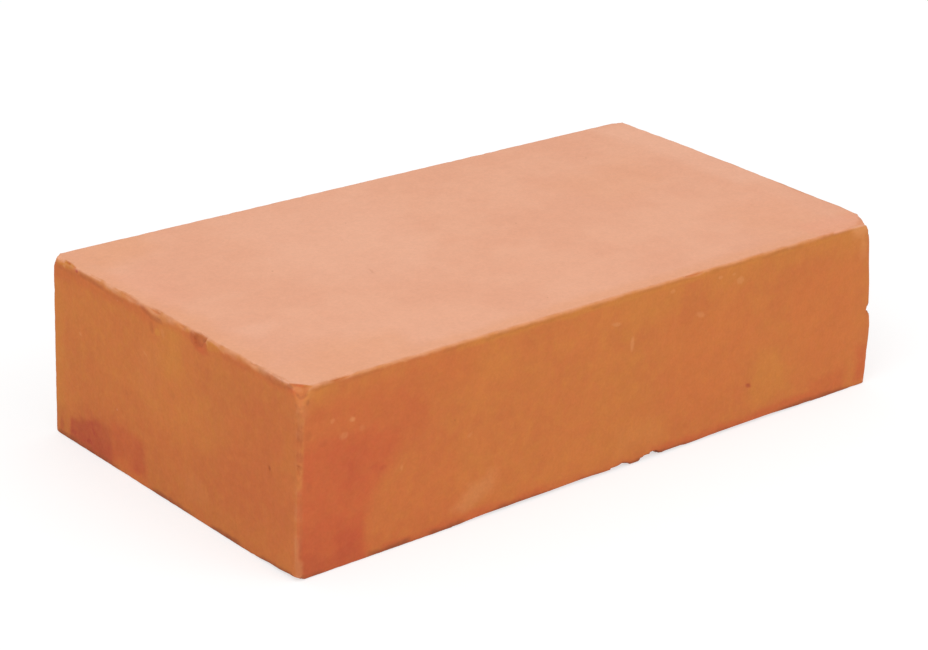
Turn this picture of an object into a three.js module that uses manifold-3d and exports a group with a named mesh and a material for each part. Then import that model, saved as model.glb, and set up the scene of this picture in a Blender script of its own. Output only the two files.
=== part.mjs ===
// A solid clay building brick, in millimetres, +Z up.
// Origin: the centre of the lower bed. X runs along the length, Y along the width, Z from bed to bed.
// The column leaves the die with rounded upright arrises and is cut to height by a wire.
// After firing, the corners and arrises have been knocked: breaks and spalls are cut out of the sound brick.
import * as THREE from "three";
import { mergeVertices } from "three/addons/utils/BufferGeometryUtils.js";
import Module from "manifold-3d";

// Fired size.
const LENGTH = 240; // stretcher length, X
const WIDTH = 124; // header length, Y
const HEIGHT = 59; // bed to bed, Z

// Sound arrises.
const DIE_ARRIS_RADIUS = 0.9; // the four upright arrises, rounded by the die
const WIRE_ARRIS_RADIUS = 0.5; // the eight bed arrises, softened after the wire cut
const DIE_ARRIS_SEGMENTS = 4;
const WIRE_ARRIS_SEGMENTS = 3;

// Fracture surfaces: clay breaks in small facets, not in planes.
const FRACTURE_PITCH = 2.2; // spacing of the facets of a corner break
const FRACTURE_RELIEF = 0.35; // how far its facets stand in and out
const SPALL_DETAIL = 2; // subdivision of the solid that cuts a spall
const SPALL_ROUGHNESS = 0.16; // uneven share of a spall's own radius

// Which face of the brick a direction points to, as a sign along X, Y or Z.
const LEFT = -1;
const RIGHT = 1;
const FRONT = -1;
const BACK = 1;
const LOWER = -1;
const UPPER = 1;

// Corner breaks. Each is a fracture across one corner, given by how far it reaches from that corner
// along the length, along the width and along the height.
const CORNER_BREAKS = [
  // The left front corner of the upper bed, broken to a small triangle.
  { corner: [LEFT, FRONT, UPPER], alongLength: 4.4, alongWidth: 4, alongHeight: 8 },
  // The right front corner of the upper bed: the bed falls away to it along the whole header, and the
  // corner is broken in three steps: a shallow flake off the bed, a steeper one under it and a long
  // sliver down the upright arris.
  { corner: [RIGHT, FRONT, UPPER], alongLength: 20, alongWidth: 100, alongHeight: 1.5 },
  { corner: [RIGHT, FRONT, UPPER], alongLength: 9.8, alongWidth: 56, alongHeight: 2.2 },
  { corner: [RIGHT, FRONT, UPPER], alongLength: 8.8, alongWidth: 12.5, alongHeight: 11.8 },
  { corner: [RIGHT, FRONT, UPPER], alongLength: 7.5, alongWidth: 6.2, alongHeight: 42 },
  // The two back corners of the upper bed, only blunted.
  { corner: [LEFT, BACK, UPPER], alongLength: 3, alongWidth: 2.4, alongHeight: 4.2 },
  { corner: [RIGHT, BACK, UPPER], alongLength: 6, alongWidth: 2, alongHeight: 2.4 },
  // The left corners of the lower bed: the front one worn along the header, the back one blunted.
  { corner: [LEFT, FRONT, LOWER], alongLength: 3.5, alongWidth: 26, alongHeight: 1.3 },
  { corner: [LEFT, BACK, LOWER], alongLength: 1.4, alongWidth: 2.6, alongHeight: 0.8 },
];

// Spalls on the bed arrises of a header. Each lies at a distance from the front stretcher
// and has a length along the arris, a bite into the header and a bite into the bed.
const HEADER_SPALLS = [
  { end: LEFT, bed: UPPER, fromFront: 47.6, length: 7.6, intoHeader: 1.5, intoBed: 4.1 },
  { end: LEFT, bed: UPPER, fromFront: 56, length: 5, intoHeader: 0.7, intoBed: 1.2 },
  { end: LEFT, bed: UPPER, fromFront: 70, length: 9, intoHeader: 0.9, intoBed: 1.4 },
  { end: LEFT, bed: UPPER, fromFront: 82, length: 12, intoHeader: 0.7, intoBed: 1.2 },
  { end: LEFT, bed: UPPER, fromFront: 117, length: 8, intoHeader: 0.8, intoBed: 1.3 },
  { end: LEFT, bed: UPPER, fromFront: 22, length: 6, intoHeader: 0.6, intoBed: 0.9 },
  { end: LEFT, bed: UPPER, fromFront: 11, length: 7, intoHeader: 0.8, intoBed: 1.4 },
];

// Spalls on the bed arrises of a stretcher, at a distance from the left header.
const STRETCHER_SPALLS = [
  { side: FRONT, bed: LOWER, fromLeft: 138, length: 9.8, intoStretcher: 5, intoBed: 1.7 },
  { side: FRONT, bed: LOWER, fromLeft: 140.2, length: 5.6, intoStretcher: 5.4, intoBed: 2.2 },
  { side: FRONT, bed: LOWER, fromLeft: 125, length: 10.6, intoStretcher: 4.2, intoBed: 1.6 },
  { side: FRONT, bed: LOWER, fromLeft: 148.4, length: 15, intoStretcher: 3, intoBed: 0.8 },
  { side: FRONT, bed: LOWER, fromLeft: 96, length: 76, intoStretcher: 2.6, intoBed: 1 },
  { side: FRONT, bed: LOWER, fromLeft: 178, length: 84, intoStretcher: 2.2, intoBed: 0.7 },
  { side: FRONT, bed: UPPER, fromLeft: 152, length: 12, intoStretcher: 0.8, intoBed: 1.1 },
  { side: FRONT, bed: UPPER, fromLeft: 14, length: 10, intoStretcher: 0.9, intoBed: 1.2 },
];

// Spalls on the upright arrises, at a height above the lower bed.
const UPRIGHT_SPALLS = [
  { end: LEFT, side: FRONT, height: 48.5, length: 6.5, intoHeader: 1.2, intoStretcher: 1.8 },
  { end: LEFT, side: FRONT, height: 41, length: 8, intoHeader: 1.1, intoStretcher: 1.5 },
  { end: LEFT, side: FRONT, height: 34, length: 5, intoHeader: 0.9, intoStretcher: 1.2 },
  { end: RIGHT, side: FRONT, height: 27.6, length: 5, intoHeader: 3.3, intoStretcher: 3.5 },
];

const wasm = await Module();
wasm.setup();

// A closed three.js geometry as a solid that can be joined and cut.
function solidOf(geometry) {
  const bare = geometry.clone();
  bare.deleteAttribute("normal");
  bare.deleteAttribute("uv");
  const merged = mergeVertices(bare, 1e-4);
  return new wasm.Manifold(
    new wasm.Mesh({
      numProp: 3,
      vertProperties: new Float32Array(merged.attributes.position.array),
      triVerts: new Uint32Array(merged.index.array),
    }),
  );
}

// A solid as a three.js geometry with one flat normal for each triangle.
function geometryOf(solid) {
  const mesh = solid.getMesh();
  const geometry = new THREE.BufferGeometry();
  geometry.setAttribute("position", new THREE.BufferAttribute(mesh.vertProperties, 3));
  geometry.setIndex(new THREE.BufferAttribute(mesh.triVerts, 1));
  const faceted = geometry.toNonIndexed();
  faceted.computeVertexNormals();
  return faceted;
}

// A repeatable number from -1 to 1 for a point in space.
function unevenness(x, y, z) {
  const wave = Math.sin(x * 12.9898 + y * 78.233 + z * 37.719) * 43758.5453;
  return 2 * (wave - Math.floor(wave)) - 1;
}

// The plan of the column as it leaves the die: a rectangle with rounded corners.
function columnPlan(length, width, radius) {
  const x = length / 2;
  const y = width / 2;
  const plan = new THREE.Shape();
  plan.moveTo(-x + radius, -y);
  plan.lineTo(x - radius, -y);
  plan.absarc(x - radius, -y + radius, radius, -Math.PI / 2, 0);
  plan.lineTo(x, y - radius);
  plan.absarc(x - radius, y - radius, radius, 0, Math.PI / 2);
  plan.lineTo(-x + radius, y);
  plan.absarc(-x + radius, y - radius, radius, Math.PI / 2, Math.PI);
  plan.lineTo(-x, -y + radius);
  plan.absarc(-x + radius, -y + radius, radius, Math.PI, 1.5 * Math.PI);
  return plan;
}

// The sound brick: the plan extruded from bed to bed, with quarter-round bed arrises.
function soundBrick() {
  const geometry = new THREE.ExtrudeGeometry(columnPlan(LENGTH, WIDTH, DIE_ARRIS_RADIUS), {
    depth: HEIGHT - 2 * WIRE_ARRIS_RADIUS,
    curveSegments: DIE_ARRIS_SEGMENTS,
    bevelEnabled: true,
    bevelThickness: WIRE_ARRIS_RADIUS,
    bevelSize: WIRE_ARRIS_RADIUS,
    bevelOffset: -WIRE_ARRIS_RADIUS,
    bevelSegments: WIRE_ARRIS_SEGMENTS,
  });
  geometry.translate(0, 0, WIRE_ARRIS_RADIUS);
  return solidOf(geometry);
}

// The point of the sharp box around the brick that the signs name: a corner, or with a zero
// the middle of an arris. Heights are measured from the lower bed.
function boxPoint(endSign, sideSign, bedSign) {
  return new THREE.Vector3(
    (endSign * LENGTH) / 2,
    (sideSign * WIDTH) / 2,
    ((1 + bedSign) * HEIGHT) / 2,
  );
}

// The waste of a corner break: a block that lies outside the fracture through three points of the
// arrises that meet there. Its face on the fracture is broken into small facets.
function cornerWaste({ corner, alongLength, alongWidth, alongHeight }) {
  const [endSign, sideSign, bedSign] = corner;
  const tip = boxPoint(endSign, sideSign, bedSign);
  const onLength = tip.clone().add(new THREE.Vector3(-endSign * alongLength, 0, 0));
  const onWidth = tip.clone().add(new THREE.Vector3(0, -sideSign * alongWidth, 0));
  const onHeight = tip.clone().add(new THREE.Vector3(0, 0, -bedSign * alongHeight));
  const fracture = new THREE.Plane().setFromCoplanarPoints(onLength, onWidth, onHeight);
  if (fracture.distanceToPoint(tip) < 0) fracture.negate();

  const span = 2.4 * Math.max(alongLength, alongWidth, alongHeight);
  const facets = Math.min(16, Math.ceil(span / FRACTURE_PITCH));
  const relief = Math.min(FRACTURE_RELIEF, fracture.distanceToPoint(tip) / 10);
  const block = new THREE.BoxGeometry(span, span, span, facets, facets, 1);
  const points = block.attributes.position;
  for (let i = 0; i < points.count; i += 1) {
    if (points.getZ(i) > 0) continue;
    const lift = relief * unevenness(points.getX(i), points.getY(i), alongLength);
    points.setZ(i, points.getZ(i) + lift);
  }
  const middle = onLength.clone().add(onWidth).add(onHeight).divideScalar(3);
  const facing = new THREE.Quaternion();
  facing.setFromUnitVectors(new THREE.Vector3(0, 0, 1), fracture.normal);
  block.translate(0, 0, span / 2);
  block.applyQuaternion(facing);
  block.translate(middle.x, middle.y, middle.z);
  return solidOf(block);
}

// The waste of a spall: an uneven lens centred on its arris, with its half-sizes along X, Y and Z.
function spallWaste(centre, halfSizes) {
  const lens = mergeVertices(
    new THREE.IcosahedronGeometry(1, SPALL_DETAIL)
      .deleteAttribute("normal")
      .deleteAttribute("uv"),
    1e-4,
  );
  const points = lens.attributes.position;
  for (let i = 0; i < points.count; i += 1) {
    const x = points.getX(i);
    const y = points.getY(i);
    const z = points.getZ(i);
    const swell = 1 + SPALL_ROUGHNESS * unevenness(x + centre.x, y + centre.y, z + centre.z);
    points.setXYZ(i, x * swell * halfSizes.x, y * swell * halfSizes.y, z * swell * halfSizes.z);
  }
  lens.translate(centre.x, centre.y, centre.z);
  return solidOf(lens);
}

// A spall on the bed arris of a header.
function headerSpallWaste({ end, bed, fromFront, length, intoHeader, intoBed }) {
  const centre = boxPoint(end, 0, bed);
  centre.y = -WIDTH / 2 + fromFront;
  return spallWaste(centre, new THREE.Vector3(intoHeader, length / 2, intoBed));
}

// A spall on the bed arris of a stretcher.
function stretcherSpallWaste({ side, bed, fromLeft, length, intoStretcher, intoBed }) {
  const centre = boxPoint(0, side, bed);
  centre.x = -LENGTH / 2 + fromLeft;
  return spallWaste(centre, new THREE.Vector3(length / 2, intoStretcher, intoBed));
}

// A spall on an upright arris.
function uprightSpallWaste({ end, side, height, length, intoHeader, intoStretcher }) {
  const centre = boxPoint(end, side, LOWER);
  centre.z = height;
  return spallWaste(centre, new THREE.Vector3(intoHeader, intoStretcher, length / 2));
}

// The brick with every break and spall cut out of it.
function knockedBrick() {
  const wastes = [
    ...CORNER_BREAKS.map(cornerWaste),
    ...HEADER_SPALLS.map(headerSpallWaste),
    ...STRETCHER_SPALLS.map(stretcherSpallWaste),
    ...UPRIGHT_SPALLS.map(uprightSpallWaste),
  ];
  return wastes.reduce((body, waste) => body.subtract(waste), soundBrick());
}

const firedClay = new THREE.MeshStandardMaterial({
  name: "fired_clay",
  color: 0xc5733f,
  roughness: 0.92,
  metalness: 0,
  flatShading: true,
});

const brick = new THREE.Mesh(geometryOf(knockedBrick()), firedClay);
brick.name = "brick";

const clayBrick = new THREE.Group();
clayBrick.name = "clay_brick";
clayBrick.add(brick);

export default clayBrick;
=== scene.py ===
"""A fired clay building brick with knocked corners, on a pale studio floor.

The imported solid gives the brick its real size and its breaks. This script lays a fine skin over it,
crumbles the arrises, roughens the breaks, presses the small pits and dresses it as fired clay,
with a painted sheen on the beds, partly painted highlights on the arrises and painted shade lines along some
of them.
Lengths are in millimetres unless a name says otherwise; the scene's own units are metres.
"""

import logging
import math
from dataclasses import dataclass, field
from enum import Enum

import bmesh
import bpy
from mathutils import Matrix, Quaternion, Vector, noise
from mathutils.bvhtree import BVHTree

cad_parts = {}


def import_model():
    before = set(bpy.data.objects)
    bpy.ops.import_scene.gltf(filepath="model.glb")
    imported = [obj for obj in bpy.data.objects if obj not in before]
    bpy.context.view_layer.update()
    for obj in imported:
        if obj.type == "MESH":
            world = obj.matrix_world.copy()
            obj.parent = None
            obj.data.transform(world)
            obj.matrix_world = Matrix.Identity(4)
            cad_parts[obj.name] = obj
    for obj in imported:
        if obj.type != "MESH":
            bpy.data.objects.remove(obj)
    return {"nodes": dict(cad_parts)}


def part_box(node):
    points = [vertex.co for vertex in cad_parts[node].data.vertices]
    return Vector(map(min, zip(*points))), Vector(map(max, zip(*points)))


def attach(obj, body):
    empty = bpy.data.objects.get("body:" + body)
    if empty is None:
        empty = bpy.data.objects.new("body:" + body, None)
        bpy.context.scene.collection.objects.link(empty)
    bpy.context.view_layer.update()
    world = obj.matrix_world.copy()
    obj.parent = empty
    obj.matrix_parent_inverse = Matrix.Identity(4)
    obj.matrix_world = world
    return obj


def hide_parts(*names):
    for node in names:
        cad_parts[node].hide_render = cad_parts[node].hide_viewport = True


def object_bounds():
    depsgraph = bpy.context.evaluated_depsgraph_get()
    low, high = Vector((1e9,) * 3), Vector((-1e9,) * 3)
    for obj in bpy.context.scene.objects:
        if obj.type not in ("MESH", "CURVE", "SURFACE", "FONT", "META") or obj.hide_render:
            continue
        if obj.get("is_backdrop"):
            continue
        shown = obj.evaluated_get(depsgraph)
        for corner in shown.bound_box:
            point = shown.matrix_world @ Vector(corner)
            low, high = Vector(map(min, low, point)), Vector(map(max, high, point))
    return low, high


LOG = logging.getLogger("brick")

MM = 0.001  # one millimetre in the scene's metres
SHIFT_RISE = 0.37  # how much a shift moves a pattern upright as well
FULL_WEAR = 0.3  # the share of its reach over which wear is full
WHITE = (1.0, 1.0, 1.0, 1.0)
MIX_UNDER, MIX_OVER, MIX_RESULT = 6, 7, 2  # the colour sockets of the mix node

Colour = tuple[float, float, float, float]
Outline = tuple[tuple[float, float], ...]
Socket = bpy.types.NodeSocket


def smooth(value: float, low: float, high: float) -> float:
    """Ease a value from 0 at low to 1 at high.

    Args:
        value: The value to ease.
        low: Where the result is 0.
        high: Where the result is 1; it may be less than low.

    Returns:
        A number from 0 to 1.
    """
    share = min(1.0, max(0.0, (value - low) / (high - low)))
    return share * share * (3.0 - 2.0 * share)


def srgb(red: int, green: int, blue: int) -> Colour:
    """Turn an 8-bit screen colour into a linear one.

    Args:
        red: Red from 0 to 255.
        green: Green from 0 to 255.
        blue: Blue from 0 to 255.

    Returns:
        Linear red, green, blue and an alpha of 1.
    """

    def linear(level: int) -> float:
        """Undo the screen curve on one channel."""
        share = level / 255.0
        return share / 12.92 if share <= 0.04045 else ((share + 0.055) / 1.055) ** 2.4

    return (linear(red), linear(green), linear(blue), 1.0)


def put_up(name: str, data: bpy.types.ID) -> bpy.types.Object:
    """Put a mesh, a lamp or a camera in the scene.

    Args:
        name: The name of the new object.
        data: Its mesh, lamp or camera.

    Returns:
        The object.
    """
    thing = bpy.data.objects.new(name, data)
    bpy.context.scene.collection.objects.link(thing)
    return thing


@dataclass(frozen=True)
class Lumps:
    """Fractal noise in the clay."""

    size: float  # of its largest lumps
    layers: int  # each finer than the last
    shift: float = 0.0  # moves the pattern, so that no two are alike
    softness: float = 0.9  # how much weaker each finer layer is
    fineness: float = 2.1  # how much finer each layer is

    def at(self, point: Vector) -> float:
        """Give the noise at a point: around 0, mostly from -1 to 1."""
        place = point / self.size + Vector((self.shift, -self.shift, SHIFT_RISE * self.shift))
        return noise.fractal(place, self.softness, self.fineness, self.layers)


@dataclass(frozen=True)
class Zones(Lumps):
    """Zones of clay that have worn alike, eased out of the noise."""

    low: float = -0.5  # where in the noise the share is least
    high: float = 0.5  # where in the noise it is 1
    least: float = 0.0  # the least share

    def share(self, point: Vector) -> float:
        """Give the share of a point, from the least to 1."""
        return self.least + (1.0 - self.least) * smooth(self.at(point), self.low, self.high)


PATCH_EDGES = Lumps(11.0, 4, 3.0)
MARK_EDGES = Lumps(1.4, 2, 7.0)
MARK_WANDER = 0.25  # how ragged the rim of a mark is, as a share of its size
MARK_FADE = (0.45, 1.15)  # where a mark starts and stops to fade, as a share of its size
SPAN = 1.5  # how far noise can push the rim of a patch or a mark, at most


class Side(Enum):
    """The faces of the brick that have patches and marks, by axis and sign."""

    LEFT_HEADER = (0, -1)
    FRONT_STRETCHER = (1, -1)
    UPPER_BED = (2, 1)

    def flat(self, point: Vector) -> tuple[float, float]:
        """Give a point's two coordinates in this face's plane, in the order of the axes."""
        axes = [axis for axis in range(3) if axis != self.value[0]]
        return point[axes[0]], point[axes[1]]


class Tint(Enum):
    """The tints of the clay, each by the name of its mask on the skin."""

    BED = "bed"  # the salmon of the beds, paler by a painted sheen
    BARE = "bare"  # takes away the beds' salmon and sheen, and on the sides the flash and painted shade too
    GOLD = "gold"
    ROSE = "rose"
    # kiln flash, and a band of painted shade just under the header's upper arris
    FLASH = "flash"
    STAIN = "stain"
    # dark marks in the clay, and painted shade lines along some arrises
    SCORCH = "scorch"
    PALE = "pale"


@dataclass(frozen=True)
class BrickBox:
    """The sharp box around the brick, in millimetres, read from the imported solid."""

    low: Vector
    high: Vector

    @classmethod
    def of_node(cls, node: str) -> "BrickBox":
        """Read the box of a node of the frame."""
        low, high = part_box(node)
        return cls(low / MM, high / MM)

    @property
    def size(self) -> Vector:
        """Length, width and height."""
        return self.high - self.low

    def depth(self, point: Vector, side: Side) -> float:
        """Give how far a point lies below the plane of one side."""
        axis, sign = side.value
        return self.high[axis] - point[axis] if sign > 0 else point[axis] - self.low[axis]

    def depths(self, point: Vector) -> list[float]:
        """Give the distance to the nearest side along X, Y and Z."""
        return [min(point[i] - self.low[i], self.high[i] - point[i]) for i in range(3)]

    def place(self, side: Side, first: float, second: float) -> Vector:
        """Find a point of a side.

        Args:
            side: The side.
            first: The point's first coordinate in the side's plane.
            second: Its second coordinate.

        Returns:
            The point.
        """
        axis, sign = side.value
        coordinates = [first, second]
        coordinates.insert(axis, self.high[axis] if sign > 0 else self.low[axis])
        return Vector(coordinates)

    def near_arris(self, height: float) -> Vector:
        """Give the point of the near upright arris at a height over the lower bed."""
        return Vector((self.low.x, self.low.y, self.low.z + height))

    def ledge(self, point: Vector) -> float:
        """Measure from a bed arris: positive on the bed, negative down the side."""
        depths = self.depths(point)
        return min(depths[0], depths[1]) - depths[2]

    def nearest_arris(self, point: Vector) -> tuple[int, int, int]:
        """Name the arris that is nearest to a point.

        Args:
            point: The point.

        Returns:
            The signs of the two sides that meet there, with 0 along the arris.
        """
        depths = self.depths(point)
        along = depths.index(max(depths))
        middle = (self.low + self.high) / 2
        signs = [1 if point[i] > middle[i] else -1 for i in range(3)]
        signs[along] = 0
        return signs[0], signs[1], signs[2]

    def heart(self, point: Vector, cover: float) -> Vector:
        """Give the nearest point of the box shrunk by a cover on every side."""
        return Vector([min(max(point[i], self.low[i] + cover), self.high[i] - cover) for i in range(3)])


@dataclass(frozen=True)
class Patch:
    """A soft-edged patch of tinted clay on one side."""

    side: Side
    tint: Tint
    strength: float  # of the tint in the middle
    fade: float  # over how many millimetres it fades in at its edge
    wander: float  # how far its edge strays from the outline
    outline: Outline  # its corners, in the side's plane

    def inside(self, first: float, second: float) -> float:
        """Measure how far a point lies inside the outline.

        Args:
            first: The point's first coordinate in the side's plane.
            second: Its second coordinate.

        Returns:
            The distance to the outline, negative outside it.
        """
        gap = math.inf
        enclosed = False
        last_first, last_second = self.outline[-1]
        for next_first, next_second in self.outline:
            run = next_first - last_first
            rise = next_second - last_second
            share = ((first - last_first) * run + (second - last_second) * rise) / (run * run + rise * rise)
            share = min(1.0, max(0.0, share))
            aside = math.hypot(first - last_first - share * run, second - last_second - share * rise)
            gap = min(gap, aside)
            if (next_second > second) != (last_second > second):
                if first < next_first + run * (second - next_second) / rise:
                    enclosed = not enclosed
            last_first, last_second = next_first, next_second
        return gap if enclosed else -gap

    def share(self, point: Vector) -> float:
        """Say how strongly the patch tints a point of its side.

        Args:
            point: A point on the side.

        Returns:
            A number from 0 to the patch's strength.
        """
        flat = self.side.flat(point)
        reach = self.fade / 2 + SPAN * self.wander
        for place, corners in zip(flat, zip(*self.outline)):
            if not min(corners) - reach < place < max(corners) + reach:
                return 0.0
        edge = self.inside(*flat) + self.wander * PATCH_EDGES.at(point)
        return self.strength * smooth(edge, -self.fade / 2, self.fade / 2)


@dataclass(frozen=True)
class Mark:
    """A small mark in one side: a pit, a scratch or a fleck."""

    side: Side
    tint: Tint
    first: float  # its place along the first axis of the side
    second: float  # its place along the second axis
    long: float  # half its length
    wide: float  # half its width
    turn_deg: float  # how far its length is turned from the first axis
    strength: float  # of the tint
    depth: float = 0.0  # how deep it is pressed in

    def share(self, point: Vector) -> float:
        """Say how much of the mark a point has.

        Args:
            point: A point on the side.

        Returns:
            A number from 0 at its rim to 1 in its middle.
        """
        first, second = self.side.flat(point)
        first -= self.first
        second -= self.second
        if abs(first) + abs(second) > SPAN * self.long + SPAN * self.wide:
            return 0.0
        turn = math.radians(self.turn_deg)
        along = (first * math.cos(turn) + second * math.sin(turn)) / self.long
        across = (second * math.cos(turn) - first * math.sin(turn)) / self.wide
        ragged = MARK_WANDER * MARK_EDGES.at(point)
        return 1.0 - smooth(math.hypot(along, across) + ragged, *MARK_FADE)


@dataclass(frozen=True)
class ArrisLook:
    """How one arris has worn, with its lighter rim and painted shade line."""

    wear: float = 0.16  # how deep it has crumbled
    reach: float = 1.3  # how far the crumbling reaches from the arris
    rim: float = 0.25  # how strongly its rim turns to a lighter tan: partly the bare clay rubbed, partly a painted highlight
    rim_width: float = 1.2  # how far that rim reaches down the side
    lap: float = 0.9  # how far the colour of the bed laps over it
    stray: float = 0.4  # how far the edge of that colour wanders
    fresh: float = 1.0  # how freshly broken its chips look
    scorch: float = 0.0  # how dark a painted shade line along it is
    scorch_from: float = -1.0  # how far from the arris that line starts
    scorch_to: float = 2.0  # how far from the arris it ends


@dataclass(frozen=True)
class WornStretch:
    """A stretch of arris that has worn unlike the rest."""

    start: Vector
    end: Vector
    reach: float  # how far from the line the wear fades out
    wear: float = 0.0  # how deep the arris has crumbled there

    def share(self, point: Vector) -> float:
        """Say how much of the wear a point takes.

        Args:
            point: The point.

        Returns:
            A number from 0 to 1.
        """
        line = self.end - self.start
        along = max(0.0, min(1.0, (point - self.start).dot(line) / line.length_squared))
        gap = (point - self.start - along * line).length
        return 1.0 - smooth(gap, FULL_WEAR * self.reach, self.reach)


@dataclass(frozen=True)
class SkinGrid:
    """A closed grid over the box, fine at the arrises and at the marks and coarser between them."""

    box: BrickBox
    arris_cell: float = 0.4
    face_cell: float = 2.4
    arris_band: float = 2.8
    growth: float = 1.25  # of the cells between the arris band and the middle of a face
    crumb_cell: float = 0.7
    least_edge: float = 0.45  # no shorter edge is split
    rings: tuple[tuple[float, int], ...] = ((2.0, 2), (0.6, 1))  # how far round a mark, how many cuts

    def stations(self, length: float) -> list[float]:
        """Work out where the grid lines cross one edge of the box.

        Args:
            length: Length of the edge.

        Returns:
            Distances from one end, from 0 to the length.
        """
        half: list[float] = [0.0]
        cell = self.arris_cell
        while half[-1] + cell < length / 2:
            half.append(half[-1] + cell)
            if half[-1] >= self.arris_band:
                cell = min(self.face_cell, cell * self.growth)
        stretch = (length / 2) / half[-1]
        half = [place * stretch for place in half]
        return half + [length - place for place in reversed(half[:-1])]

    def lay(self) -> bmesh.types.BMesh:
        """Lay the plain grid.

        Returns:
            A closed mesh of quads, in millimetres.
        """
        skin = bmesh.new()
        bmesh.ops.create_cube(skin, size=1.0)
        lines = [self.stations(self.box.size[axis]) for axis in range(3)]
        for axis in range(3):
            along = [
                edge
                for edge in skin.edges
                if abs(edge.verts[0].co[axis] - edge.verts[1].co[axis]) > 0.5
            ]
            bmesh.ops.subdivide_edges(skin, edges=along, cuts=len(lines[axis]) - 2, use_grid_fill=True)
        for vert in skin.verts:
            for axis in range(3):
                count = len(lines[axis]) - 1
                step = round((vert.co[axis] + 0.5) * count)
                vert.co[axis] = self.box.low[axis] + lines[axis][step]
        return skin

    def split_arrises(self, skin: bmesh.types.BMesh) -> None:
        """Split the long cells beside the arrises, so that crumbs have room.

        Args:
            skin: The grid.
        """
        groups: dict[int, list[bmesh.types.BMEdge]] = {}
        for edge in skin.edges:
            middle = (edge.verts[0].co + edge.verts[1].co) / 2
            if sorted(self.box.depths(middle))[1] > self.arris_band:
                continue
            cuts = math.ceil(edge.calc_length() / self.crumb_cell) - 1
            if cuts > 0:
                groups.setdefault(cuts, []).append(edge)
        for cuts, edges in sorted(groups.items()):
            bmesh.ops.subdivide_edges(skin, edges=edges, cuts=cuts, use_grid_fill=True)

    def split_around(self, skin: bmesh.types.BMesh, marks: list[Mark], reach: float, cuts: int) -> None:
        """Split the faces that lie near the marks.

        Args:
            skin: The grid.
            marks: The marks.
            reach: How far past the end of a mark the faces are split.
            cuts: How many cuts each of their edges gets.
        """
        spots = [(self.box.place(mark.side, mark.first, mark.second), mark.long + reach) for mark in marks]
        skin.edges.index_update()
        chosen: set[bmesh.types.BMEdge] = set()
        for face in skin.faces:
            centre = face.calc_center_median()
            if any((centre - place).length < radius for place, radius in spots):
                chosen.update(edge for edge in face.edges if edge.calc_length() > self.least_edge)
        order = sorted(chosen, key=lambda edge: edge.index)
        bmesh.ops.subdivide_edges(skin, edges=order, cuts=cuts, use_grid_fill=True)

    def build(self, marks: list[Mark]) -> bmesh.types.BMesh:
        """Build the whole grid.

        Args:
            marks: The marks that it has to show.

        Returns:
            The mesh, in millimetres.
        """
        skin = self.lay()
        self.split_arrises(skin)
        for reach, cuts in self.rings:
            self.split_around(skin, marks, reach, cuts)
        return skin


@dataclass(frozen=True)
class Mottle:
    """One layer of noise in the clay, eased into a range."""

    size: float  # of its lumps
    detail: float  # how many finer layers it has
    roughness: float  # how strong the finer layers are
    low: float  # where in the noise the layer starts
    high: float  # where in the noise it is full
    least: float = 0.0  # its value where it hasn't started
    most: float = 1.0  # its value where it is full


@dataclass(frozen=True)
class Flecks:
    """Small round flecks in the clay."""

    spacing: float  # size of the cells that may each hold one fleck
    radius: float
    rarity: float  # share of the cells that stay empty
    strength: float  # how much a fleck colours
    core: float = 0.4  # share of its radius in which it is full
    faint: float = 0.1  # share of the cells whose fleck is fainter


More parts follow.
